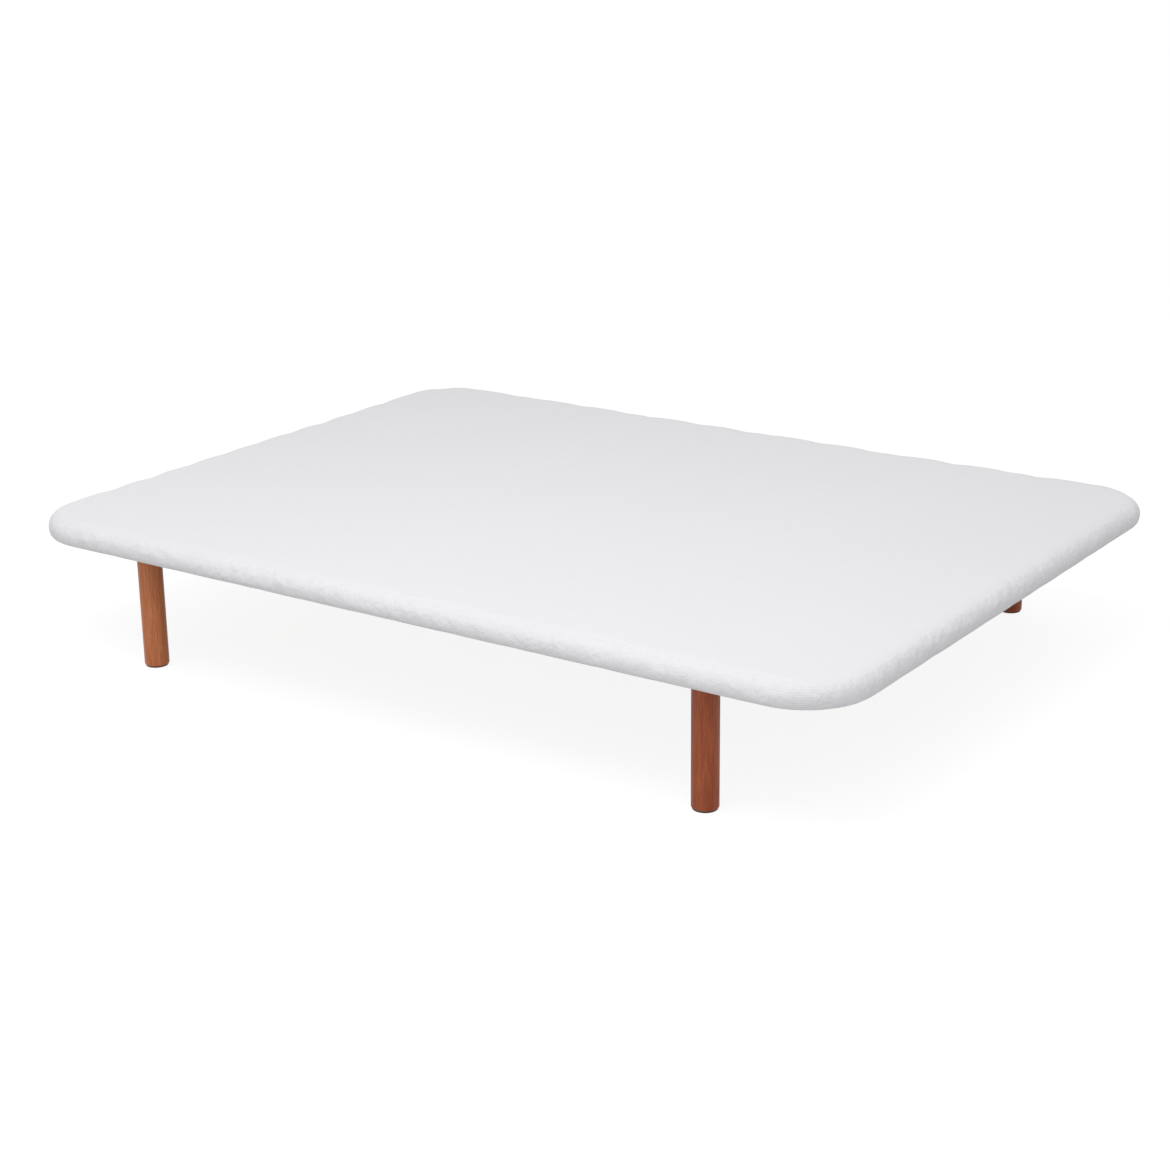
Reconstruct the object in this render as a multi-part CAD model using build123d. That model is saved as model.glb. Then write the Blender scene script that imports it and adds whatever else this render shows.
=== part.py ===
"""Upholstered divan bed base: a padded steel frame with a fabric cover on four screw-in wooden legs.

Millimetres. The origin is the centre of the footprint on the floor. +Z is up, the foot end is at +X,
the head end at -X, the left side at +Y and the right side at -Y.
"""

import os

from build123d import *

# Overall size over the fabric, and the rounded corner in plan
base_length = 1900.0
base_width = 1400.0
corner_radius = 138.0

# Layers, from the floor up
glide_thickness = 3.0
leg_length = 240.0
washer_thickness = 2.0
rail_height = 30.0
board_thickness = 5.0
foam_thickness = 11.0
fabric_thickness = 2.0

# Padded edge: the top rounds over in a quarter ellipse, the bottom in a quarter circle
edge_round_inward = 34.0
edge_round_down = 28.0
bottom_round = 16.0
edge_padding = 14.0
edge_band = 50.0

# Steel frame
rail_width = 30.0
rail_wall = 1.5
rail_edge_radius = 2.5
bar_width = 40.0
bar_height = 25.0
bar_wall = 1.5
bar_edge_radius = 2.0
bar_count = 5

# Legs
leg_diameter = 50.0
leg_end_inset = 290.0
leg_to_cover_gap = 3.7
leg_foot_round = 3.0
leg_top_chamfer = 1.0
glide_diameter = 46.0
glide_edge_round = 1.0
glide_nail_diameter = 2.4
glide_nail_length = 14.0

# Leg fixing: M10 hanger bolt, washer, plate and bush
thread_diameter = 10.0
stud_reach = 24.0
wood_thread_diameter = 8.0
wood_thread_length = 35.0
stud_end_chamfer = 0.8
wood_point_chamfer = 2.5
washer_diameter = 40.0
plate_length = 64.0
plate_width = 60.0
plate_corner = 6.0
plate_to_cover_gap = 1.7
bush_diameter = 16.0
bush_recess = 0.5
bush_collar_diameter = 22.0
bush_collar_height = 3.0
bush_height_over_plate = 15.0

# Cover return and staples
return_margin = 25.0
bar_slit_gap = 1.0
staple_crown = 10.0
staple_wire_width = 1.2
staple_wire_thick = 0.7
staple_depth = 4.0
staple_pitch = 110.0

# Board screws
screw_diameter = 4.0
screw_head_diameter = 7.6
screw_head_height = 2.2
screw_length = 16.0
screw_point = 2.5
screw_pitch = 300.0
screw_end_margin = 110.0

# Clearances
soft_clearance = 0.3
thread_clearance = 0.05
hole_clearance = 0.1
weld_gap = 0.3
washer_hole_clearance = 0.25
board_gap = 1.0
cut_past = 1.0

# Heights worked out from the layers
leg_foot_z = glide_thickness
leg_top_z = leg_foot_z + leg_length
plate_low_z = leg_top_z + washer_thickness
rail_low_z = plate_low_z
rail_high_z = rail_low_z + rail_height
board_high_z = rail_high_z + board_thickness
cover_low_z = rail_low_z - fabric_thickness
cover_high_z = board_high_z + foam_thickness + fabric_thickness
bar_low_z = rail_high_z - bar_height
plate_thickness = bar_low_z - plate_low_z

# Places in plan, worked out from the sizes
corner_x = base_length / 2 - corner_radius
corner_y = base_width / 2 - corner_radius
rail_inner = edge_padding + rail_width
return_inner = rail_inner + soft_clearance + fabric_thickness
leg_side_inset = return_inner + leg_to_cover_gap + leg_diameter / 2
leg_x = base_length / 2 - leg_end_inset
leg_y = base_width / 2 - leg_side_inset
bar_length = base_width - 2 * rail_inner
bar_spacing = 2 * leg_x / (bar_count - 1)
bar_places = [-leg_x + i * bar_spacing for i in range(bar_count)]
plate_side_inset = return_inner + plate_to_cover_gap + plate_length / 2
diagonal_share = 0.5**0.5

# Each side of the base: how far its run is turned from the foot end, its distance out and half its length
sides = {
    "foot": (0, corner_x, corner_y),
    "left": (90, corner_y, corner_x),
    "head": (180, corner_x, corner_y),
    "right": (270, corner_y, corner_x),
}

# Each rounded corner: how far it is turned from the foot's left corner, and its signs along X and Y
corners = {
    "foot_left": (0, 1, 1),
    "head_left": (90, -1, 1),
    "head_right": (180, -1, -1),
    "foot_right": (270, 1, -1),
}


def save(shape, name):
    """Writes one piece, or one group of like pieces, under its own name."""
    export_step(shape, f"parts/{name}.step")


def group(pieces):
    """Like pieces kept as separate solids under one name."""
    return Compound(children=[solid for piece in pieces for solid in piece.solids()])


# Edge profiles are drawn standing up: across is the distance from a corner's centre, up is the height.
# A place at distance d inside the base's outer side lies at corner_radius - d.


def across(inside):
    """Where a place this far inside the base's side lies in an edge profile."""
    return corner_radius - inside


def run_along(profile, side):
    """An edge profile drawn out along one straight side."""
    turn, out, half = sides[side]
    run = extrude(profile, amount=2 * half, dir=(0, -1, 0))
    return Rot(0, 0, turn) * Pos(out, half, 0) * run


def turn_round(profile, corner):
    """An edge profile turned a quarter round one corner."""
    turn, sign_x, sign_y = corners[corner]
    bend = revolve(profile, Axis.Z, 90)
    return Pos(sign_x * corner_x, sign_y * corner_y, 0) * Rot(0, 0, turn) * bend


def rounded_plate(inside, low, high):
    """A plate with the base's outline, its edge this far inside the base's side."""
    length = base_length - 2 * inside
    width = base_width - 2 * inside
    outline = RectangleRounded(length, width, corner_radius - inside)
    return Pos(0, 0, low) * extrude(outline, amount=high - low)


def run_all_round(profile, low, high):
    """An edge profile taken right round the base, its middle filled by a plate from low to high."""
    ring = [run_along(profile, side) for side in sides]
    ring += [turn_round(profile, corner) for corner in corners]
    return rounded_plate(edge_band, low, high) + ring


def padded_outline(depth, inner):
    """The padded edge's outline, this deep under the fabric's surface and closed at inner."""
    low = cover_low_z + depth
    top = cover_high_z - depth
    centre_top = (across(edge_round_inward), cover_high_z - edge_round_down)
    top_half_width = edge_round_inward - depth
    top_half_height = edge_round_down - depth
    foot_radius = bottom_round - depth
    foot_z = cover_low_z + bottom_round
    with BuildSketch(Plane.XZ) as outline:
        with BuildLine():
            Polyline(
                (across(edge_round_inward), top),
                (across(inner), top),
                (across(inner), low),
                (across(bottom_round), low),
            )
            CenterArc((across(bottom_round), foot_z), foot_radius, -90, 90)
            Line((across(depth), foot_z), (across(depth), centre_top[1]))
            EllipticalCenterArc(centre_top, top_half_width, top_half_height, arc_size=90)
        make_face()
    return outline.sketch


def block(inner, outer, low, high):
    """A plain rectangle of an edge profile, from inner to outer as distances inside the base's side."""
    with BuildSketch(Plane.XZ) as shape:
        with Locations((across((inner + outer) / 2), (low + high) / 2)):
            Rectangle(abs(inner - outer), high - low)
    return shape.sketch


# Steel frame


def rail_profile():
    """Square tube with rounded edges."""
    inner_radius = rail_edge_radius - rail_wall
    with BuildSketch(Plane.XZ) as tube:
        with Locations((across(edge_padding + rail_width / 2), rail_low_z + rail_height / 2)):
            RectangleRounded(rail_width, rail_height, rail_edge_radius)
            bore = (rail_width - 2 * rail_wall, rail_height - 2 * rail_wall)
            RectangleRounded(*bore, inner_radius, mode=Mode.SUBTRACT)
    return tube.sketch


def cross_bar(x):
    """Rectangular tube across the frame, its ends against the side rails."""
    outer = RectangleRounded(bar_width, bar_height, bar_edge_radius)
    bore = (bar_width - 2 * bar_wall, bar_height - 2 * bar_wall)
    outer -= RectangleRounded(*bore, bar_edge_radius - bar_wall)
    tube = extrude(Plane.XZ * outer, amount=bar_length / 2, both=True)
    return Pos(x, 0, bar_low_z + bar_height / 2) * tube


def leg_places():
    """The four leg axes, by the corner each stands nearest."""
    return {name: (sx * leg_x, sy * leg_y) for name, (_, sx, sy) in corners.items()}


def upright(diameter, low, high):
    """A round bar standing on the Z axis from low to high."""
    return Pos(0, 0, low) * extrude(Circle(diameter / 2), amount=high - low)


def threaded_bush():
    """Round weld bush: its collar sits on the plate, its bore takes the leg's stud."""
    body_high = bar_low_z + bush_height_over_plate
    body = upright(bush_diameter, plate_low_z + bush_recess, body_high)
    body += upright(bush_collar_diameter, bar_low_z, bar_low_z + bush_collar_height)
    bore = thread_diameter + 2 * thread_clearance
    return body - upright(bore, plate_low_z, body_high)


def leg_plate(x, y):
    """Plate under the end of a cross bar, with a hole for the bush on the leg's axis."""
    plate_y = (base_width / 2 - plate_side_inset) * (1 if y > 0 else -1)
    outline = RectangleRounded(plate_width, plate_length, plate_corner)
    plate = Pos(x, plate_y, plate_low_z) * extrude(outline, amount=plate_thickness)
    hole = bush_diameter + 2 * weld_gap
    return plate - Pos(x, y, 0) * upright(hole, plate_low_z, bar_low_z)


# Boards and their screws


def evenly(low, high, pitch):
    """Places from low to high, the ends included, about a pitch apart."""
    gaps = max(1, round((high - low) / pitch))
    return [low + (high - low) * i / gaps for i in range(gaps + 1)]


def screw_places():
    """Screws into the rails and corners, the cross bars, and both board edges over the middle bar."""
    rail_middle = edge_padding + rail_width / 2
    rail_x = base_length / 2 - rail_middle
    rail_y = base_width / 2 - rail_middle
    diagonal = (corner_radius - rail_middle) * diagonal_share
    places = []
    for _, sx, sy in corners.values():
        places.append((sx * (corner_x + diagonal), sy * (corner_y + diagonal)))
        for x in evenly(screw_end_margin, corner_x - screw_end_margin, screw_pitch):
            places.append((sx * x, sy * rail_y))
    for y in evenly(-corner_y + screw_end_margin, corner_y - screw_end_margin, screw_pitch):
        places += [(-rail_x, y), (rail_x, y)]
        for x in bar_places:
            if abs(x) > bar_width:
                places.append((x, y))
            else:
                places += [(x - bar_width / 4, y), (x + bar_width / 4, y)]
    return places


def screw_body(grow):
    """Countersunk screw with its head flush with the board, or its hole when grown by a clearance."""
    radius = screw_diameter / 2 + grow
    head = screw_head_diameter / 2 + grow
    tip_z = board_high_z - screw_length
    with BuildSketch(Plane.XZ) as half:
        with BuildLine():
            Polyline(
                (0, board_high_z),
                (head, board_high_z),
                (radius, board_high_z - screw_head_height),
                (radius, tip_z + screw_point),
                (0, tip_z),
                close=True,
            )
        make_face()
    return revolve(half.sketch, Axis.Z, 360)


def board(sign):
    """One half of the fibreboard deck, with its outer edge flush with the rails."""
    whole = rounded_plate(edge_padding, rail_high_z, board_high_z)
    from_middle = (Align.MIN, Align.CENTER, Align.MIN)
    half = Box(base_length / 2, base_width, board_thickness, align=from_middle)
    turn = 0 if sign > 0 else 180
    return whole & Rot(0, 0, turn) * Pos(board_gap / 2, 0, rail_high_z) * half


# Fabric cover


def cover_profile():
    """Fabric from the top round the padding, under the rail, up its inner face and along the board."""
    past = edge_band + cut_past
    skin = padded_outline(0, edge_band) - padded_outline(fabric_thickness, past)
    skin -= block(return_inner, past, cover_low_z - cut_past, board_high_z)
    lip_outer = rail_inner + soft_clearance
    lip = block(lip_outer, return_inner, cover_low_z, rail_high_z)
    margin_low = rail_high_z - fabric_thickness
    margin = block(lip_outer, return_inner + return_margin, margin_low, rail_high_z)
    return skin + lip + margin


def bar_slits():
    """Where the cover's return is slit for the cross bars."""
    width = bar_width + 2 * bar_slit_gap
    low = bar_low_z - bar_slit_gap
    depth = return_margin + return_inner - edge_padding
    inside = edge_padding + rail_width / 2
    slit = Box(width, depth, rail_high_z - low, align=(Align.CENTER, Align.MIN, Align.MIN))
    right = [Pos(x, inside - base_width / 2, low) * slit for x in bar_places]
    return right + [Rot(0, 0, 180) * cut for cut in right]


def staple():
    """Wire staple lying under the cover's edge along X, its two legs up through the fabric into the board."""
    low = rail_high_z - fabric_thickness - staple_wire_thick
    high = rail_high_z + staple_depth
    outside = Box(staple_crown, staple_wire_width, high - low)
    gap_length = staple_crown - 2 * staple_wire_thick
    gap = Pos(0, 0, staple_wire_thick) * Box(gap_length, staple_wire_width, high - low)
    return Pos(0, 0, (low + high) / 2) * (outside - gap)


def staple_places():
    """Places and turns of the staples along the cover's edge, bay by bay, with one round each corner."""
    inside = return_inner + return_margin / 2
    line_x = base_length / 2 - inside
    line_y = base_width / 2 - inside
    clear = bar_width / 2 + bar_slit_gap + staple_crown
    ends = [-corner_x - clear, *bar_places, corner_x + clear]
    places = []
    for low, high in zip(ends, ends[1:]):
        for x in evenly(low + clear, high - clear, staple_pitch):
            places += [(x, -line_y, 0), (x, line_y, 0)]
    for y in evenly(-corner_y, corner_y, staple_pitch):
        places += [(-line_x, y, 90), (line_x, y, 90)]
    diagonal = (corner_radius - inside) * diagonal_share
    for turn, sign_x, sign_y in corners.values():
        x = sign_x * (corner_x + diagonal)
        y = sign_y * (corner_y + diagonal)
        places.append((x, y, turn - 45))
    return places


# Legs


def leg():
    """Turned leg with a rounded foot, a pilot hole for the hanger bolt and one for the glide's nail."""
    body = upright(leg_diameter, leg_foot_z, leg_top_z)
    body = fillet(body.edges().group_by(Axis.Z)[0], leg_foot_round)
    body = chamfer(body.edges().group_by(Axis.Z)[-1], leg_top_chamfer)
    bolt_hole = wood_thread_diameter + 2 * hole_clearance
    body -= upright(bolt_hole, leg_top_z - wood_thread_length, leg_top_z)
    nail_hole = glide_nail_diameter + 2 * hole_clearance
    return body - upright(nail_hole, leg_foot_z, leg_foot_z + glide_nail_length)


def glide():
    """Round glide with its nail up into the leg."""
    disc = upright(glide_diameter, 0, glide_thickness)
    disc = fillet(disc.edges().group_by(Axis.Z)[0], glide_edge_round)
    return disc + upright(glide_nail_diameter, 0, leg_foot_z + glide_nail_length)


def hanger_bolt():
    """Wood thread down into the leg, machine thread up through the washer into the bush."""
    stud = upright(thread_diameter, leg_top_z, leg_top_z + stud_reach)
    stud = chamfer(stud.edges().group_by(Axis.Z)[-1], stud_end_chamfer)
    wood = upright(wood_thread_diameter, leg_top_z - wood_thread_length, leg_top_z)
    wood = chamfer(wood.edges().group_by(Axis.Z)[0], wood_point_chamfer)
    return stud + wood


def washer():
    """Flat washer between the leg's top and the plate."""
    disc = upright(washer_diameter, leg_top_z, plate_low_z)
    hole = thread_diameter + 2 * washer_hole_clearance
    return disc - upright(hole, leg_top_z, plate_low_z)


# Each group of pieces, written out


def write_frame(holes):
    """Rails, corner tubes, cross bars, leg plates and bushes."""
    for side in sides:
        kind = "end_rail" if side in ("head", "foot") else "side_rail"
        save(run_along(rail_profile(), side) - holes, f"{kind}_{side}")
    for corner in corners:
        save(turn_round(rail_profile(), corner) - holes, f"corner_tube_{corner}")
    collar_hole_diameter = bush_collar_diameter + 2 * weld_gap
    collar_hole = upright(collar_hole_diameter, bar_low_z, bar_low_z + bush_collar_height)
    for number, x in enumerate(bar_places, start=1):
        over_legs = [place for place in leg_places().values() if abs(place[0] - x) < bar_width / 2]
        bar = cross_bar(x) - holes
        bar -= [Pos(*place, 0) * collar_hole for place in over_legs]
        save(bar, f"cross_bar_{number}")
    for name, (x, y) in leg_places().items():
        save(leg_plate(x, y), f"leg_plate_{name}")
    bush = threaded_bush()
    save(group([Pos(x, y, 0) * bush for x, y in leg_places().values()]), "threaded_bushes")


def write_padding():
    """Foam over the boards and round the outside of the frame."""
    depth = fabric_thickness + soft_clearance
    outline = padded_outline(depth, edge_band)
    top_edge = outline & block(edge_padding, edge_band, board_high_z, cover_high_z)
    save(run_all_round(top_edge, board_high_z, cover_high_z - depth), "foam_top")
    strip = outline & block(0, edge_padding - soft_clearance, rail_low_z, cover_high_z)
    for side in sides:
        save(run_along(strip, side), f"foam_edge_{side}")
    for corner in corners:
        save(turn_round(strip, corner), f"foam_corner_{corner}")


def write_cover():
    """The fabric cover and its staples."""
    cover = run_all_round(cover_profile(), cover_high_z - fabric_thickness, cover_high_z)
    save(cover - bar_slits(), "fabric_cover")
    clip = staple()
    clips = [Pos(x, y, 0) * Rot(0, 0, turn) * clip for x, y, turn in staple_places()]
    save(group(clips), "staples")


def write_legs():
    """Each leg with its glide, hanger bolt and washer."""
    for name, (x, y) in leg_places().items():
        stand = Pos(x, y, 0)
        save(stand * leg(), f"leg_{name}")
        save(stand * glide(), f"glide_{name}")
        save(stand * hanger_bolt(), f"hanger_bolt_{name}")
        save(stand * washer(), f"washer_{name}")


os.makedirs("parts", exist_ok=True)
screws = [Pos(x, y, 0) for x, y in screw_places()]
screw_holes = [place * screw_body(hole_clearance) for place in screws]
save(group([place * screw_body(0) for place in screws]), "board_screws")
save(board(-1) - screw_holes, "board_head")
save(board(1) - screw_holes, "board_foot")
write_frame(screw_holes)
write_padding()
write_cover()
write_legs()
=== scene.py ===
"""Looks of the upholstered divan bed base: knitted cover over foam, steel frame and four stained beech legs.

Metres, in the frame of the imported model. The foot end is at +X, the head end at -X, the left side at +Y,
the right side at -Y and the floor at Z = 0.
"""

import math
import random

import bmesh
import bpy
from mathutils import Matrix, Vector, noise


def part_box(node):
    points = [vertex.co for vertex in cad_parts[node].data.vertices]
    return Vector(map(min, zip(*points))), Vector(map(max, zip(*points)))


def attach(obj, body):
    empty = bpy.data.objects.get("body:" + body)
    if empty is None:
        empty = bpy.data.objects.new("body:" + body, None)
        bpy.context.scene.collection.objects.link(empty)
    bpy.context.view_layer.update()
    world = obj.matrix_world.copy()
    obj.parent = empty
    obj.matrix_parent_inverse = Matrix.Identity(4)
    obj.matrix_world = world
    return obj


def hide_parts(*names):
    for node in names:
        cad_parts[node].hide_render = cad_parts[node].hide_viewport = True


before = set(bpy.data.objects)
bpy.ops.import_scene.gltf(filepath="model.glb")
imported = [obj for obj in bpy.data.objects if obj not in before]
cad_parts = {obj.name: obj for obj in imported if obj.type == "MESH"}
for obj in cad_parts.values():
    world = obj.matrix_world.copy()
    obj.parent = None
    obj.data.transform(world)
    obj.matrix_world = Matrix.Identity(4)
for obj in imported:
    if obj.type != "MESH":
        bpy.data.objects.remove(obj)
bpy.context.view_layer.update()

# The cover's section, from the edge of the flat top down, under the frame and up to the stapled margin
corner_radius = 0.138
edge_round_inward = 0.034
edge_round_down = 0.028
bottom_round = 0.016
fabric_thickness = 0.002
return_inset = 0.0463
return_edge_round = 0.004
return_hollow = 0.006
return_margin = 0.025
slit_half_width = 0.021
slit_low_z = 0.249

# Fineness of the cover's mesh
corner_segments = 36
cell = 0.012
weld = 0.0001
tiny = 0.000001

# Places read from the frame
cover_low, cover_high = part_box("fabric_cover")
half_length, half_width = cover_high.x, cover_high.y
side_high_z = cover_high.z - edge_round_down
side_low_z = cover_low.z + bottom_round
straight_x = half_length - corner_radius
straight_y = half_width - corner_radius
board_low_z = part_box("board_foot")[0].z
board_high_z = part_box("board_foot")[1].z
margin_z = board_low_z - fabric_thickness
bars = ["cross_bar_%d" % (i + 1) for i in range(5)]
bar_places = [(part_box(bar)[0].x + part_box(bar)[1].x) / 2 for bar in bars]
rail_low_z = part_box("side_rail_left")[0].z

# How the knit is stretched: pulled in line with each staple, and held by the frame or softly by the foam
staple_reach = 0.012
foam_grip = 0.5
side_grip = 0.75
foam_fullness = 0.0018
settle_width = 0.03
pull_reach = 0.024
pull_share = (0.45, 1.0)
pull_width = (0.7, 1.2)
pull_most = 0.13
corner_ease = 0.3
stretch_frames = 20
dent_share = 0.3
dent_size = 0.04
most_move = 0.0035

# The gathers under each corner and the slack of the margin between staples
pleats_per_corner = 7
pleat_height = 0.0019
pleat_lean = 1.4
pleat_width = 0.3
pleat_rise = 2.2
pleat_fade = 1 / 6
pleat_least = 0.75
pleat_spread = 0.5
margin_slack = 0.0013
hang_least = 0.6
hang_spread = 0.8
staple_hold = 0.016

# Weld beads that hold each leg plate to its cross bar
bead_radius = 0.0026
bead_length = 0.046
bead_pitch = 0.0022
bead_ripple = 1.12

# Foam under the cover
under_cover = 0.0023
foam_clearance = 0.0003
edge_padding = 0.014
foam_rise = 0.006

# Each side's straight run: its centre, how far it is turned from the foot, and its length
sides = {
    "foot": ((straight_x, 0), 0, 2 * straight_y),
    "left": ((0, straight_y), 90, 2 * straight_x),
    "head": ((-straight_x, 0), 180, 2 * straight_y),
    "right": ((0, -straight_y), 270, 2 * straight_x),
}

# Each rounded corner: its centre, and how far it is turned from the foot's left corner
corners = {
    "foot_left": ((straight_x, straight_y), 0),
    "head_left": ((-straight_x, straight_y), 90),
    "head_right": ((-straight_x, -straight_y), 180),
    "foot_right": ((straight_x, -straight_y), 270),
}


# Working on a mesh

def edit(piece):
    """Opens a piece in edit mode with nothing else selected."""
    bpy.ops.object.select_all(action="DESELECT")
    bpy.context.view_layer.objects.active = piece
    piece.select_set(True)
    bpy.ops.object.mode_set(mode="EDIT")


def choose(kind, test):
    """In edit mode, selects exactly the verts, edges or faces that pass a test."""
    mode = {"verts": "VERT", "edges": "EDGE", "faces": "FACE"}[kind]
    bpy.ops.mesh.select_mode(type=mode)
    bpy.ops.mesh.select_all(action="DESELECT")
    form = bmesh.from_edit_mesh(bpy.context.edit_object.data)
    for part in getattr(form, kind):
        if test(part):
            part.select_set(True)
    form.select_flush_mode()
    bmesh.update_edit_mesh(bpy.context.edit_object.data)


def done(piece, name):
    """Leaves edit mode and names the piece."""
    bpy.ops.object.mode_set(mode="OBJECT")
    piece.name = name
    piece.data.name = name
    return piece


def quarter(steps, across, along):
    """The steps round a quarter ellipse that leaves along its first axis: moves across and along."""
    turns = [i / steps * math.pi / 2 for i in range(steps + 1)]
    return [
        (across * (math.cos(a) - math.cos(b)), along * (math.sin(b) - math.sin(a)))
        for a, b in zip(turns, turns[1:])
    ]


# Moves inward and down or up that shape each part of the cover's section
round_top = quarter(8, edge_round_inward, edge_round_down)
round_bottom = quarter(4, bottom_round, bottom_round)
flat_under = [((return_inset - return_edge_round - bottom_round) / 3, 0)] * 3
turn_up = [(along, across) for across, along in quarter(3, return_edge_round, return_edge_round)]
rises = [slit_low_z - cover_low.z - return_edge_round] + [(margin_z - return_hollow - slit_low_z) / 3] * 3
round_hollow = quarter(3, return_hollow, return_hollow)
flat_margin = [((return_margin - return_hollow) / 3, 0)] * 3


def inset_by(moves, sign=1):
    """Insets the selected face by each (inward, out of the face) move in turn."""
    for inward, outward in moves:
        bpy.ops.mesh.inset(thickness=inward, depth=sign * outward, use_even_offset=True)


# The cover

def is_bottom(face):
    """Whether a face is the one that closes the cover's underside."""
    return face.normal.z < -0.9 and len(face.verts) > 4 * corner_segments


def build_cover():
    """The cover's outer skin: top, rounded edge, wrap under the rails and the margin on the board."""
    bpy.ops.object.select_all(action="DESELECT")
    bpy.ops.mesh.primitive_plane_add(size=1)
    cover = bpy.context.object
    edit(cover)
    bpy.ops.transform.resize(value=(2 * half_length, 2 * half_width, 1))
    bpy.ops.transform.translate(value=(0, 0, side_high_z))
    bpy.ops.mesh.bevel(offset=corner_radius, segments=corner_segments, affect="VERTICES", profile=0.5)

    choose("faces", lambda f: True)
    inset_by(round_top)
    flat = corner_radius - edge_round_inward
    inset_by([(flat / 8, 0)] * 8)
    choose("verts", lambda v: abs(v.co.x) < straight_x + cell / 2 and abs(v.co.y) < straight_y + cell / 2)
    bpy.ops.mesh.remove_doubles(threshold=cell / 2)

    choose("edges", lambda e: e.is_boundary)
    bpy.ops.mesh.extrude_region_move(TRANSFORM_OT_translate={"value": (0, 0, side_low_z - side_high_z)})
    bpy.ops.mesh.edge_face_add()
    bpy.ops.mesh.select_all(action="SELECT")
    bpy.ops.mesh.normals_make_consistent(inside=False)
    choose("faces", is_bottom)
    inset_by(round_bottom + flat_under)
    inset_by(turn_up, -1)
    for step in rises:
        bpy.ops.mesh.extrude_region_move(TRANSFORM_OT_translate={"value": (0, 0, step)})
    inset_by(round_hollow, -1)
    inset_by(flat_margin)
    bpy.ops.mesh.delete(type="FACE")
    divide_runs()
    cut_slits()
    return done(cover, "cover")


def divide_runs():
    """Divides the straight runs into cells, with lines that fall on the edges of the cross bars' slits."""
    stops = [-straight_x]
    for place in bar_places:
        stops += [place - slit_half_width, place + slit_half_width]
    stops.append(straight_x)
    for stop in stops[1:-1]:
        bpy.ops.mesh.select_all(action="SELECT")
        bpy.ops.mesh.bisect(plane_co=(stop, 0, 0), plane_no=(1, 0, 0))
    for low, high in zip(stops, stops[1:]):
        divide(0, low, high)
    divide(1, -straight_y, straight_y)


def divide(axis, low, high):
    """Divides every edge that runs along an axis between two places into cells."""

    def spans(edge):
        ends = sorted(v.co[axis] for v in edge.verts)
        return abs(ends[0] - low) < slack and abs(ends[1] - high) < slack

    slack = cell / 2
    choose("edges", spans)
    bpy.ops.mesh.subdivide(number_cuts=round((high - low) / cell) - 1)


def cut_slits():
    """Opens the return where the cross bars pass through it to the side rails."""

    def on_bar(face):
        middle = face.calc_center_median()
        over_slit = middle.z > slit_low_z and abs(middle.y) < half_width - return_inset + cell / 2
        return (
            over_slit
            and middle.z < margin_z + fabric_thickness
            and abs(middle.y) > half_width - return_inset - return_margin - cell / 2
            and any(abs(middle.x - place) < slit_half_width for place in bar_places)
        )

    choose("faces", on_bar)
    bpy.ops.mesh.delete(type="FACE")


def inner_point(place):
    """The point of the straight runs' rectangle that is nearest to a place."""
    return Vector((
        max(-straight_x, min(straight_x, place.x)),
        max(-straight_y, min(straight_y, place.y)),
    ))


def outline_point(place):
    """The point of the cover's outer edge straight out from a place, and how far inside it the place is."""
    inner = inner_point(place)
    out = Vector((place.x, place.y)) - inner
    if out.length < tiny:
        return inner, corner_radius
    return inner + out.normalized() * corner_radius, corner_radius - out.length


def cover_section():
    """The section's points: how far inside the outer edge, how high, and how far along the knit."""
    moves = [(-inward, -up) for inward, up in reversed(round_top)] + [(0, side_low_z - side_high_z)]
    moves += [(inward, -down) for inward, down in round_bottom + flat_under]
    moves += turn_up + [(0, step) for step in rises] + round_hollow + flat_margin
    points = [(edge_round_inward, cover_high.z, 0.0)]
    for inward, up in moves:
        inset, height, length = points[-1]
        points.append((inset + inward, height + up, length + math.hypot(inward, up)))
    return points


def along_knit(section, inset, height):
    """The length along the knit, from the flat top's edge, of the section's point nearest to a place."""
    best = None
    for (x0, z0, s0), (x1, z1, s1) in zip(section, section[1:]):
        share = ((inset - x0) * (x1 - x0) + (height - z0) * (z1 - z0)) / (s1 - s0) ** 2
        share = max(0.0, min(1.0, share))
        gap = math.hypot(inset - x0 - share * (x1 - x0), height - z0 - share * (z1 - z0))
        if best is None or gap < best[0]:
            best = (gap, s0 + share * (s1 - s0))
    return best[1]


def map_weave(cover):
    """Gives the cover a map in metres, so the knit runs on from the top over the edge and under."""
    section = cover_section()
    places = []
    for vertex in cover.data.vertices:
        edge, inset = outline_point(vertex.co)
        if inset > edge_round_inward - weld and vertex.co.z > side_high_z:
            places.append(vertex.co.xy)
            continue
        out = (edge - inner_point(edge)).normalized()
        length = along_knit(section, inset, vertex.co.z)
        places.append(edge + out * (length - edge_round_inward))
    layer = cover.data.uv_layers.new(name="weave")
    for loop in cover.data.loops:
        layer.data[loop.index].uv = places[loop.vertex_index]


def staple_places():
    """The staples' places, found from the staples' own mesh."""
    found = []
    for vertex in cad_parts["staples"].data.vertices:
        if all((place - vertex.co.xy).length > staple_reach for place in found):
            found.append(vertex.co.xy.copy())
    return found


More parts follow.
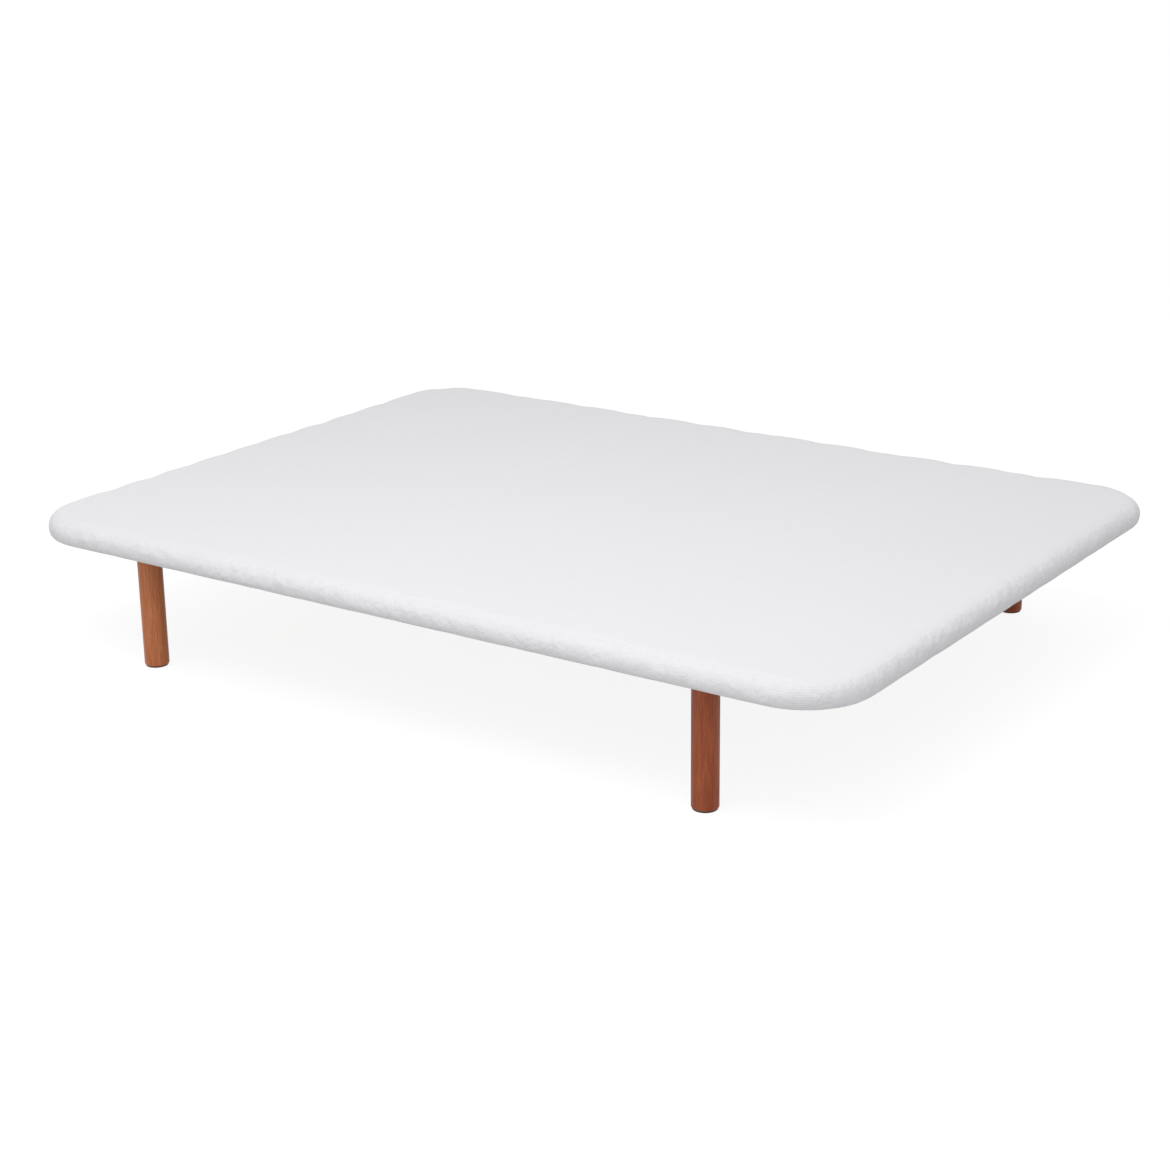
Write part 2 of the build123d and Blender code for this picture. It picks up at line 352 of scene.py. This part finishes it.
def gather_underside(cover):
    """Gathers the knit into pleats under each corner, and lets the margin hang between staples."""
    staples = staple_places()
    moves = []
    for vertex in cover.data.vertices:
        edge, inset = outline_point(vertex.co)
        if vertex.co.z > margin_z + fabric_thickness or inset < bottom_round + weld:
            continue
        depth = (inset - bottom_round) / (return_inset + return_margin - bottom_round)
        away = min((vertex.co.xy - place).length for place in staples)
        free = 1 - math.exp(-((away / staple_hold) ** 2))
        move = margin_slack * free * max(0.0, (inset - return_inset) / return_margin)
        move *= hang_least + hang_spread * noise.noise(vertex.co / dent_size)
        if abs(edge.x) > straight_x and abs(edge.y) > straight_y:
            out = edge - inner_point(edge)
            turn = math.atan2(abs(out.y), abs(out.x)) / (math.pi / 2)
            wave = math.cos(2 * math.pi * pleats_per_corner * turn + pleat_lean * depth)
            fold = max(0.0, wave + pleat_width) / (1 + pleat_width)
            ends = min(1.0, turn / pleat_fade, (1 - turn) / pleat_fade)
            uneven = pleat_least + pleat_spread * noise.noise(Vector((edge.x, edge.y, 0)) / pull_reach)
            move += pleat_height * ends * uneven * free * min(1.0, pleat_rise * depth) * fold
        moves.append((vertex, vertex.normal.copy() * move))
    for vertex, move in moves:
        vertex.co += move


def grip(vertex):
    """How firmly a point of the cover is held: by the frame and the board, or softly by the foam."""
    inset = outline_point(vertex)[1]
    if vertex.z < margin_z + fabric_thickness and inset > bottom_round - weld:
        return 1.0
    if vertex.z < side_low_z + weld:
        return side_grip + (1 - side_grip) * (side_low_z - vertex.z) / bottom_round
    if inset < edge_round_inward:
        return foam_grip
    return min(1.0, foam_grip + (1 - foam_grip) * (inset - edge_round_inward) / settle_width)


def stretch_cover(cover):
    """Stretches the knit over the foam: it shortens most in line with each staple, where the foam yields."""
    edit(cover)
    choose("faces", lambda f: min(grip(v.co) for v in f.verts) == 1)
    bpy.ops.mesh.separate(type="SELECTED")
    bpy.ops.object.mode_set(mode="OBJECT")
    still = next(piece for piece in bpy.context.selected_objects if piece != cover)
    draw = random.Random(7)
    pulls = []
    for place in staple_places():
        at_corner = abs(place.x) > straight_x - staple_reach and abs(place.y) > straight_y - staple_reach
        share = draw.uniform(*pull_share) * (corner_ease if at_corner else 1)
        pulls.append((outline_point(place)[0], share, draw.uniform(*pull_width)))
    held = cover.vertex_groups.new(name="held")
    pulled = cover.vertex_groups.new(name="pulled")
    for vertex in cover.data.vertices:
        held.add([vertex.index], grip(vertex.co), "REPLACE")
        edge = outline_point(vertex.co)[0]
        strength = sum(
            share * math.exp(-(((edge - place).length / (pull_reach * width)) ** 2))
            for place, share, width in pulls
            if (edge - place).length < 3 * pull_reach * width
        )
        strength += dent_share * noise.noise(vertex.co / dent_size)
        pulled.add([vertex.index], max(0.0, min(1.0, strength)), "REPLACE")
    rest = [vertex.co.copy() for vertex in cover.data.vertices]
    normals = [vertex.normal.copy() for vertex in cover.data.vertices]
    for vertex, normal in zip(cover.data.vertices, normals):
        vertex.co += normal * foam_fullness * (1 - grip(vertex.co)) / (1 - foam_grip)
    cloth = cover.modifiers.new("stretch", "CLOTH").settings
    cloth.quality = 5
    cloth.mass = 0.05
    cloth.tension_stiffness = cloth.compression_stiffness = 15
    cloth.shear_stiffness = 0.5
    cloth.bending_stiffness = 0.2
    cloth.vertex_group_mass = "held"
    cloth.pin_stiffness = 3.5
    cloth.vertex_group_shrink = "pulled"
    cloth.shrink_max = pull_most
    cloth.effector_weights.gravity = 0
    for step in range(stretch_frames):
        bpy.context.scene.frame_set(step + 1)
    bpy.context.view_layer.objects.active = cover
    bpy.ops.object.modifier_apply(modifier="stretch")
    bpy.context.scene.frame_set(1)
    for vertex, start in zip(cover.data.vertices, rest):
        moved = vertex.co - start
        if moved.length > most_move:
            vertex.co = start + moved * most_move / moved.length
        vertex.co.z = min(vertex.co.z, cover_high.z)
    cover.vertex_groups.clear()
    bpy.ops.object.select_all(action="DESELECT")
    still.select_set(True)
    cover.select_set(True)
    bpy.context.view_layer.objects.active = cover
    bpy.ops.object.join()
    edit(cover)
    bpy.ops.mesh.select_all(action="SELECT")
    bpy.ops.mesh.remove_doubles(threshold=weld)
    bpy.ops.object.mode_set(mode="OBJECT")


def finish_cover(cover):
    """Gives the skin the knit's thickness and smooth shading."""
    solid = cover.modifiers.new("thickness", "SOLIDIFY")
    solid.thickness = fabric_thickness
    solid.offset = -1
    bpy.ops.object.select_all(action="DESELECT")
    bpy.context.view_layer.objects.active = cover
    cover.select_set(True)
    bpy.ops.object.modifier_apply(modifier="thickness")
    bpy.ops.object.shade_smooth_by_angle(angle=math.radians(60))


# The foam under the cover, and the weld beads

def fit_inside(piece, skin):
    """Presses the outer side of a foam piece back to its place under the stretched cover."""
    outer = piece.vertex_groups.new(name="outer")
    near = [v.index for v in piece.data.vertices
            if outline_point(v.co)[1] < edge_padding - 0.001 or v.co.z > board_high_z + 0.001]
    outer.add(near, 1.0, "REPLACE")
    wrap = piece.modifiers.new("fit", "SHRINKWRAP")
    wrap.target = skin
    wrap.wrap_mode = "INSIDE"
    wrap.offset = under_cover
    wrap.vertex_group = "outer"
    bpy.context.view_layer.objects.active = piece
    bpy.ops.object.modifier_apply(modifier="fit")
    piece.vertex_groups.clear()
    bpy.ops.object.shade_smooth_by_angle(angle=math.radians(40))
    return piece


def build_foam_top(skin):
    """The foam sheet over the boards, its edge rounded like the cover's."""
    bpy.ops.object.select_all(action="DESELECT")
    bpy.ops.mesh.primitive_plane_add(size=1)
    sheet = bpy.context.object
    edit(sheet)
    size = (2 * (half_length - edge_padding), 2 * (half_width - edge_padding), 1)
    bpy.ops.transform.resize(value=size)
    bpy.ops.transform.translate(value=(0, 0, board_high_z))
    radius = corner_radius - edge_padding
    bpy.ops.mesh.bevel(offset=radius, segments=corner_segments, affect="VERTICES", profile=0.5)
    across = edge_round_inward - under_cover
    along = edge_round_down - under_cover
    start = math.acos((edge_round_inward - edge_padding) / across)
    turns = [start + i / 5 * (math.pi / 2 - start) for i in range(6)]
    moves = [
        (across * (math.cos(a) - math.cos(b)), along * (math.sin(b) - math.sin(a)))
        for a, b in zip(turns, turns[1:])
    ]
    edge_height = cover_high.z - under_cover - board_high_z - sum(up for inward, up in moves)
    bpy.ops.mesh.select_all(action="SELECT")
    bpy.ops.mesh.extrude_region_move(TRANSFORM_OT_translate={"value": (0, 0, edge_height)})
    flat = corner_radius - edge_round_inward
    inset_by(moves + [(flat / 8, 0)] * 8)
    bpy.ops.mesh.remove_doubles(threshold=cell / 2)
    divide(0, -straight_x, straight_x)
    divide(1, -straight_y, straight_y)
    bpy.ops.mesh.select_all(action="SELECT")
    bpy.ops.mesh.normals_make_consistent(inside=False)
    return fit_inside(done(sheet, "foam_sheet"), skin)


def build_foam_strip(name, centre, turn, run, skin):
    """A foam strip down a side, or round a corner where it has no run, as deep as the frame is padded."""
    bpy.ops.object.select_all(action="DESELECT")
    outer, inner = corner_radius - under_cover, corner_radius - edge_padding + foam_clearance
    low = rail_low_z + foam_clearance
    high = cover_high.z - under_cover - foam_rise
    middle = ((outer + inner) / 2, -(run or 0) / 2, (low + high) / 2)
    bpy.ops.mesh.primitive_plane_add(size=1, rotation=(math.pi / 2, 0, 0), location=middle)
    strip = bpy.context.object
    strip.scale = (outer - inner, high - low, 1)
    bpy.ops.object.transform_apply(location=True, rotation=True, scale=True)
    edit(strip)
    choose("verts", lambda v: v.co.x > middle[0])
    bpy.ops.mesh.bevel(offset=outer - inner - 0.0004, segments=6, affect="VERTICES", profile=0.5)
    bpy.ops.mesh.select_all(action="SELECT")
    if run:
        bpy.ops.mesh.extrude_region_move(TRANSFORM_OT_translate={"value": (0, run, 0)})
        divide(1, -run / 2, run / 2)
    else:
        bpy.ops.mesh.spin(steps=corner_segments, angle=math.pi / 2, center=(0, 0, 0), axis=(0, 0, -1))
        close_ends()
    bpy.ops.mesh.select_all(action="SELECT")
    bpy.ops.mesh.remove_doubles(threshold=weld)
    bpy.ops.mesh.normals_make_consistent(inside=False)
    done(strip, name)
    strip.rotation_euler.z = math.radians(turn)
    strip.location = (*centre, 0)
    bpy.ops.object.transform_apply(location=True, rotation=True, scale=False)
    return fit_inside(strip, skin)


def build_bead():
    """A weld bead that runs along Y from the origin, with a ripple where each drop of metal froze."""
    bpy.ops.object.select_all(action="DESELECT")
    bpy.ops.mesh.primitive_circle_add(
        vertices=10, radius=bead_radius, fill_type="NGON", rotation=(math.pi / 2, 0, 0))
    bead = bpy.context.object
    bpy.ops.object.transform_apply(location=True, rotation=True, scale=True)
    edit(bead)
    bpy.ops.mesh.select_all(action="SELECT")
    y = 0
    ripples = round(bead_length / bead_pitch)
    for swell in [1.3] + [1 / bead_ripple, bead_ripple] * (ripples - 1) + [0.6]:
        y += bead_pitch / 2
        bpy.ops.mesh.extrude_region_move(TRANSFORM_OT_translate={"value": (0, bead_pitch / 2, 0)})
        bpy.ops.transform.resize(value=(swell, 1, swell), center_override=(0, y, 0))
    bpy.ops.mesh.select_all(action="SELECT")
    bpy.ops.mesh.normals_make_consistent(inside=False)
    done(bead, "weld_bead")
    bpy.ops.object.shade_smooth_by_angle(angle=math.radians(50))
    bead.data.materials.append(steel)
    return bead


def copy_bead(bead, name, start):
    """A copy of the weld bead with its own mesh, moved so that it starts at a place."""
    copied = bpy.data.objects.new(name, bead.data.copy())
    copied.data.name = name
    copied.data.transform(Matrix.Translation(start))
    bpy.context.scene.collection.objects.link(copied)
    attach(copied, "base")


def close_ends():
    """Fills any open edge loops of the piece in edit mode."""
    choose("edges", lambda e: e.is_boundary)
    bpy.ops.mesh.edge_face_add()


# Materials

def colour(text):
    """A linear colour from an sRGB hex value."""
    parts = [int(text[i:i + 2], 16) / 255 for i in (0, 2, 4)]
    return [p / 12.92 if p <= 0.04045 else ((p + 0.055) / 1.055) ** 2.4 for p in parts] + [1]


def add(tree, kind, inputs=None, **settings):
    """Adds a node: its settings by name, and its inputs by name or number as values or links."""
    made = tree.nodes.new(kind)
    for name, value in settings.items():
        setattr(made, name, value)
    for name, value in (inputs or {}).items():
        if isinstance(value, bpy.types.NodeSocket):
            tree.links.new(value, made.inputs[name])
        else:
            made.inputs[name].default_value = value
    return made


def new_material(name):
    """A material with an empty tree."""
    material = bpy.data.materials.new(name)
    material.use_nodes = True
    material.node_tree.nodes.clear()
    return material, material.node_tree


def grain(tree, size, detail=2.0, rough=0.5, place=None, stretch=(1, 1, 1), distortion=0.0):
    """A noise field whose patches are about a size in metres, drawn out by a stretch along each axis."""
    if place is None:
        place = add(tree, "ShaderNodeTexCoord").outputs["Object"]
    scaled = add(tree, "ShaderNodeMapping", {
        "Vector": place, "Scale": tuple(1 / (size * s) for s in stretch)})
    return add(tree, "ShaderNodeTexNoise", {
        "Vector": scaled.outputs[0], "Scale": 1.0, "Detail": detail, "Roughness": rough,
        "Distortion": distortion}).outputs["Fac"]


def between(tree, field, low, high, result_low=0.0, result_high=1.0):
    """A field's values between two limits, spread between two others."""
    return add(tree, "ShaderNodeMapRange", {
        "Value": field, "From Min": low, "From Max": high, "To Min": result_low,
        "To Max": result_high}, interpolation_type="SMOOTHSTEP").outputs[0]


def tones(tree, field, first, second):
    """Two colours, given as values or links, mixed by a field."""
    return add(tree, "ShaderNodeMix", {0: field, 6: first, 7: second}, data_type="RGBA").outputs[2]


def finish_surface(tree, shader, relief):
    """Puts a shader on the surface, with relief fields each as deep as its given depth in metres."""
    normal = None
    for field, depth in relief:
        inputs = {"Height": field, "Distance": depth, "Strength": 1.0}
        if normal:
            inputs["Normal"] = normal
        normal = add(tree, "ShaderNodeBump", inputs).outputs[0]
    if normal:
        shader["Normal"] = normal
    made = add(tree, "ShaderNodeBsdfPrincipled", shader)
    add(tree, "ShaderNodeOutputMaterial", {"Surface": made.outputs[0]})


def crossed_waves(tree, place, spacing, turns):
    """The sum of cosine waves that cross at given turns, their crests a spacing in metres apart."""
    total = None
    for turn in turns:
        a = math.radians(turn)
        number = 2 * math.pi / spacing
        phase = add(tree, "ShaderNodeVectorMath", {
            0: place, 1: (number * math.cos(a), number * math.sin(a), 0)}, operation="DOT_PRODUCT")
        wave = add(tree, "ShaderNodeMath", {0: phase.outputs["Value"]}, operation="COSINE").outputs[0]
        if total:
            wave = add(tree, "ShaderNodeMath", {0: total, 1: wave}, operation="ADD").outputs[0]
        total = wave
    return total


def spacer_knit():
    """White polyester spacer fabric, warp knitted in two faces with yarn between, then heat set.

    The face is matt and slightly fuzzy, with small hexagonal eyelets 5 mm apart, drawn a little greyer than
    the ribs round them as painted shade inside the holes. The real ones are about 3 mm apart, and are drawn
    coarser so that they show. Where the knit is stretched over the foam it has soft shallow hollows a few
    centimetres wide.
    """
    material, tree = new_material("white_polyester_spacer_knit")
    weave = add(tree, "ShaderNodeUVMap", uv_map="weave").outputs[0]
    eyelets = between(tree, crossed_waves(tree, weave, 0.0043, (0, 60, 120)), -0.6, 2.6)
    yarns = grain(tree, 0.0012, 3.0, 0.6, weave)
    soil = grain(tree, 0.35, 3.0)
    place = add(tree, "ShaderNodeTexCoord").outputs["Object"]
    height = add(tree, "ShaderNodeSeparateXYZ", {0: place}).outputs["Z"]
    edge = between(tree, height, cover_high.z - 0.0002, cover_high.z - 0.006, 0.25, 1.0)
    hollows = add(tree, "ShaderNodeMath", {0: grain(tree, 0.022, 3.0, 0.5), 1: edge}, operation="MULTIPLY")
    face = tones(tree, between(tree, soil, 0.3, 0.7), colour("f1f1f4"), colour("efeff2"))
    ribs = tones(tree, between(tree, yarns, 0.3, 0.7), face, colour("f4f4f6"))
    # The eyelets' grey e6e6ea is painted shade inside the holes
    base = tones(tree, eyelets, ribs, colour("e6e6ea"))
    finish_surface(tree, {
        "Base Color": base, "Roughness": 0.92, "Sheen Weight": 0.08, "Sheen Roughness": 0.5,
        "Specular IOR Level": 0.25,
    }, [(hollows.outputs[0], 0.005), (eyelets, -0.00012), (yarns, 0.00006)])
    return material


def cut_foam():
    """Cream flexible polyurethane foam, sliced from a block with a band knife.

    The cut face is matt and open celled, with cells about 1 mm wide drawn darker inside as painted shade,
    and it has yellowed unevenly.
    """
    material, tree = new_material("cream_polyurethane_foam")
    place = add(tree, "ShaderNodeTexCoord").outputs["Object"]
    cells = add(tree, "ShaderNodeTexVoronoi", {"Vector": place, "Scale": 1 / 0.0012}).outputs["Distance"]
    aged = between(tree, grain(tree, 0.12, 3.0), 0.3, 0.7)
    skin = tones(tree, aged, colour("efe7cb"), colour("e4d5a8"))
    # c9b98c inside each cell is painted shade in the foam's open pores
    base = tones(tree, between(tree, cells, 0.05, 0.45), colour("c9b98c"), skin)
    finish_surface(tree, {
        "Base Color": base, "Roughness": 0.95, "Specular IOR Level": 0.2,
    }, [(cells, 0.0005)])
    return material


def hardboard():
    """Brown hardboard, wet pressed from wood fibre against a wire screen.

    The underside keeps the screen's print, a fine square mesh 2.5 mm apart, and fibres and darker bark
    specks show in it. It is matt, with a slightly waxy bloom.
    """
    material, tree = new_material("brown_screen_pressed_hardboard")
    place = add(tree, "ShaderNodeTexCoord").outputs["Object"]
    screen = between(tree, crossed_waves(tree, place, 0.0025, (0, 90)), -1.6, 1.6)
    fibres = grain(tree, 0.004, 5.0, 0.65, stretch=(1.6, 0.7, 1), distortion=1.5)
    clouds = grain(tree, 0.09, 4.0, 0.6)
    specks = between(tree, grain(tree, 0.0028, 2.0, 0.5), 0.68, 0.78)
    base = tones(tree, between(tree, fibres, 0.3, 0.72), colour("6d4a2d"), colour("a47b51"))
    base = tones(tree, between(tree, clouds, 0.3, 0.7, 0.0, 0.45), base, colour("87613c"))
    base = tones(tree, between(tree, screen, 0.0, 1.0, 0.35, 0.0), base, colour("5c3d25"))
    base = tones(tree, specks, base, colour("3d2817"))
    rough = between(tree, clouds, 0.3, 0.7, 0.62, 0.8)
    finish_surface(tree, {"Base Color": base, "Roughness": rough}, [(fibres, 0.00025), (screen, 0.00022)])
    return material


def powder_coat():
    """Grey polyester powder coat on steel tube, sprayed and baked.

    It is semi-matt with a fine orange peel of ripples 1.5 mm wide. Pale dust lies in patches, and the coat
    is rubbed a little shinier in others.
    """
    material, tree = new_material("grey_powder_coated_steel")
    peel = grain(tree, 0.0015, 2.0, 0.4)
    rubbed = grain(tree, 0.05, 4.0, 0.6)
    dust = between(tree, grain(tree, 0.02, 5.0, 0.7), 0.52, 0.75, 0.0, 0.22)
    base = tones(tree, between(tree, rubbed, 0.3, 0.7), colour("434548"), colour("4c4f52"))
    base = tones(tree, dust, base, colour("8f8e8a"))
    rough = between(tree, rubbed, 0.3, 0.7, 0.42, 0.58)
    finish_surface(tree, {"Base Color": base, "Roughness": rough}, [(peel, 0.00006)])
    return material


def zinc_plate():
    """Bright zinc plated steel, drawn or pressed, then barrel plated and passivated.

    It is a silver grey metal with a faint blue and straw bloom, cloudy gloss, and fine tumbling marks.
    """
    material, tree = new_material("bright_zinc_plated_steel")
    bloom = grain(tree, 0.006, 3.0, 0.6)
    marks = grain(tree, 0.0007, 3.0, 0.6, stretch=(3, 3, 0.6))
    base = tones(tree, between(tree, bloom, 0.35, 0.65), colour("b9bcc2"), colour("c6c2b2"))
    base = tones(tree, between(tree, marks, 0.55, 0.75, 0.0, 0.4), base, colour("8d8e90"))
    rough = between(tree, bloom, 0.3, 0.7, 0.26, 0.42)
    finish_surface(tree, {"Base Color": base, "Metallic": 1.0, "Roughness": rough}, [(marks, 0.00004)])
    return material


def stained_beech():
    """Solid beech, turned to a round leg, cherry stained and sealed with semi-matt lacquer.

    The grain runs up the leg as close streaks, crossed by short dark ray flecks 1 mm wide and 3 to 5 mm
    long. The stain takes unevenly in broad bands. The two legs at the foot end are drawn redder and darker:
    the redder tone is a different take of the stain, and the darkness is painted shade. The lacquer gives a
    soft gloss over pores too fine to feel.
    """
    material, tree = new_material("cherry_stained_beech")
    place = add(tree, "ShaderNodeTexCoord").outputs["Object"]
    along = add(tree, "ShaderNodeSeparateXYZ", {0: place}).outputs["X"]
    # Towards the foot end (+X) the wood is drawn redder and darker; the darkening is painted shade on the
    # foot-end legs
    foot_end_redder_and_shaded = between(tree, along, -0.3, 0.3)
    streaks = grain(tree, 0.003, 4.0, 0.6, stretch=(1, 1, 18), distortion=0.3)
    bands = grain(tree, 0.016, 3.0, 0.5, stretch=(1, 1, 12))
    pores = grain(tree, 0.0007, 2.0, 0.6, stretch=(1, 1, 9))
    fleck_place = add(tree, "ShaderNodeMapping", {
        "Vector": place, "Scale": (1 / 0.0026, 1 / 0.0026, 1 / 0.009)})
    flecks = add(tree, "ShaderNodeTexVoronoi", {
        "Vector": fleck_place.outputs[0], "Scale": 1.0, "Randomness": 1.0}).outputs["Distance"]
    flecks = between(tree, flecks, 0.26, 0.12)
    # The second colour of each pair is the foot-end legs' redder tone with painted shade mixed in
    pale = tones(tree, foot_end_redder_and_shaded, colour("d48353"), colour("b05c33"))
    deep = tones(tree, foot_end_redder_and_shaded, colour("b66941"), colour("8f4326"))
    dark = tones(tree, foot_end_redder_and_shaded, colour("8a4e34"), colour("682d1c"))
    base = tones(tree, between(tree, streaks, 0.3, 0.75), pale, deep)
    base = tones(tree, between(tree, bands, 0.4, 0.7, 0.0, 0.45), base, deep)
    base = tones(tree, between(tree, flecks, 0.0, 1.0, 0.0, 0.55), base, dark)
    base = tones(tree, between(tree, pores, 0.6, 0.75, 0.0, 0.3), base, dark)
    rough = between(tree, bands, 0.3, 0.7, 0.44, 0.56)
    finish_surface(tree, {
        "Base Color": base, "Roughness": rough, "Specular IOR Level": 0.3, "Coat Weight": 0.06,
        "Coat Roughness": 0.4,
    }, [(streaks, 0.00012), (pores, -0.00005)])
    return material


def moulded_glide():
    """Brown polypropylene, injection moulded with a spark eroded texture and scuffed by the floor.

    It is satin, with a fine 0.8 mm grain and paler scuffs.
    """
    material, tree = new_material("brown_moulded_polypropylene")
    spark = grain(tree, 0.0008, 2.0, 0.5)
    scuffs = between(tree, grain(tree, 0.006, 4.0, 0.7, stretch=(2.5, 1, 1)), 0.5, 0.72, 0.0, 0.5)
    base = tones(tree, scuffs, colour("3a2418"), colour("6a5040"))
    rough = between(tree, scuffs, 0.0, 0.5, 0.42, 0.7)
    finish_surface(tree, {"Base Color": base, "Roughness": rough}, [(spark, 0.00005)])
    return material


# Each node of the frame gets the finish whose name its own name starts with
knit = spacer_knit()
foam = cut_foam()
steel = powder_coat()
zinc = zinc_plate()
finishes = {
    "board": hardboard(), "corner_tube": steel, "cross_bar": steel, "end_rail": steel, "side_rail": steel,
    "leg_plate": steel, "threaded_bushes": zinc, "staples": zinc, "board_screws": zinc, "washer": zinc,
    "hanger_bolt": zinc, "leg": stained_beech(), "glide": moulded_glide(), "foam": foam, "fabric": knit,
}
for name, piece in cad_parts.items():
    key = max((k for k in finishes if name.startswith(k)), key=len)
    piece.data.materials.clear()
    piece.data.materials.append(finishes[key])

# The cover and the foam, which replace the plain ones of the frame, and the weld beads
cover = build_cover()
map_weave(cover)
gather_underside(cover)
stretch_cover(cover)
foams = {"foam_top": build_foam_top(cover)}
for side, (centre, turn, run) in sides.items():
    foams["foam_edge_" + side] = build_foam_strip("foam_strip_" + side, centre, turn, run, cover)
for corner, (centre, turn) in corners.items():
    foams["foam_corner_" + corner] = build_foam_strip("foam_turn_" + corner, centre, turn, 0, cover)
for node, piece in foams.items():
    piece.data.materials.append(foam)
    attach(piece, "base")
    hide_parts(node)
bead = build_bead()
for corner in corners:
    plate_low, plate_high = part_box("leg_plate_" + corner)
    bar = min(bars, key=lambda name: abs(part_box(name)[0].x - plate_low.x))
    bar_low, bar_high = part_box(bar)
    start_y = (plate_low.y + plate_high.y - bead_length) / 2
    for side, x in (("head_side", bar_low.x), ("foot_side", bar_high.x)):
        copy_bead(bead, "weld_bead_%s_%s" % (corner, side), (x, start_y, plate_high.z))
bpy.data.objects.remove(bead)
finish_cover(cover)
cover.data.materials.append(knit)
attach(cover, "base")
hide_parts("fabric_cover")

# Camera, where the photograph was taken from
camera_place = (2.55182, -3.69115, 1.60619)
camera_yaw, camera_pitch, camera_roll = (math.radians(a) for a in (-34.91, 18.39, -0.73))
lens = bpy.data.cameras.new("camera")
lens.lens = 69.549
lens.sensor_width = 36
camera = bpy.data.objects.new("camera", lens)
bpy.context.scene.collection.objects.link(camera)
camera.location = camera_place
camera.rotation_euler = (
    Matrix.Rotation(-camera_yaw, 3, "Z")
    @ Matrix.Rotation(math.pi / 2 - camera_pitch, 3, "X")
    @ Matrix.Rotation(camera_roll, 3, "Z")
).to_euler()
bpy.context.scene.camera = camera

# What both lamps are aimed at, and how wide they are
lamp_aim = Vector((0.1, -0.2, 0.28))
lamp_size = 2.2


def lamp(name, turn, rise, distance, watts):
    """A soft square lamp aimed at the base, turned by degrees from the right side towards the foot."""
    a, e = math.radians(turn), math.radians(rise)
    out = Vector((math.sin(a) * math.cos(e), -math.cos(a) * math.cos(e), math.sin(e)))
    light = bpy.data.lights.new(name, "AREA")
    light.size = lamp_size
    light.energy = watts
    holder = bpy.data.objects.new(name, light)
    bpy.context.scene.collection.objects.link(holder)
    holder.location = lamp_aim + out * distance
    holder.rotation_euler = (-out).to_track_quat("-Z", "Y").to_euler()


lamp("key", 5, 65, 3.4, 44)
lamp("fill", 30, 45, 4.5, 18)


def white_rays(tree):
    """1 for the rays that see the studio as white: the camera's, reflected and transmitted ones."""
    path = add(tree, "ShaderNodeLightPath")
    seen = add(tree, "ShaderNodeMath", {0: path.outputs["Is Camera Ray"], 1: path.outputs["Is Glossy Ray"]},
               operation="MAXIMUM")
    seen = add(tree, "ShaderNodeMath", {0: seen.outputs[0], 1: path.outputs["Is Transmission Ray"]},
               operation="MAXIMUM")
    return seen.outputs[0]


# The floor: it keeps a faint shadow of the base, and lights the underside as a pale grey floor does
floor_material, tree = new_material("pale_floor")
diffuse = add(tree, "ShaderNodeBsdfDiffuse", {"Color": colour("d8d8d8")})
shown = add(tree, "ShaderNodeBsdfDiffuse", {"Color": colour("7c7c7c")})
glow = add(tree, "ShaderNodeEmission", {"Color": (1, 1, 1, 1), "Strength": 0.89})
bright = add(tree, "ShaderNodeAddShader", {0: shown.outputs[0], 1: glow.outputs[0]})
mix = add(tree, "ShaderNodeMixShader", {0: white_rays(tree), 1: diffuse.outputs[0], 2: bright.outputs[0]})
add(tree, "ShaderNodeOutputMaterial", {"Surface": mix.outputs[0]})
bpy.ops.object.select_all(action="DESELECT")
bpy.ops.mesh.primitive_plane_add(size=60)
floor = bpy.context.object
floor.name = "floor"
floor.data.materials.append(floor_material)

# The studio's even light
world = bpy.data.worlds.new("studio")
bpy.context.scene.world = world
world.use_nodes = True
tree = world.node_tree
tree.nodes.clear()
room = add(tree, "ShaderNodeBackground", {"Color": (1, 1, 1, 1), "Strength": 0.585})
white = add(tree, "ShaderNodeBackground", {"Color": (1, 1, 1, 1), "Strength": 1.0})
mix = add(tree, "ShaderNodeMixShader", {0: white_rays(tree), 1: room.outputs[0], 2: white.outputs[0]})
add(tree, "ShaderNodeOutputWorld", {"Surface": mix.outputs[0]})
bpy.context.scene.view_settings.view_transform = "Standard"
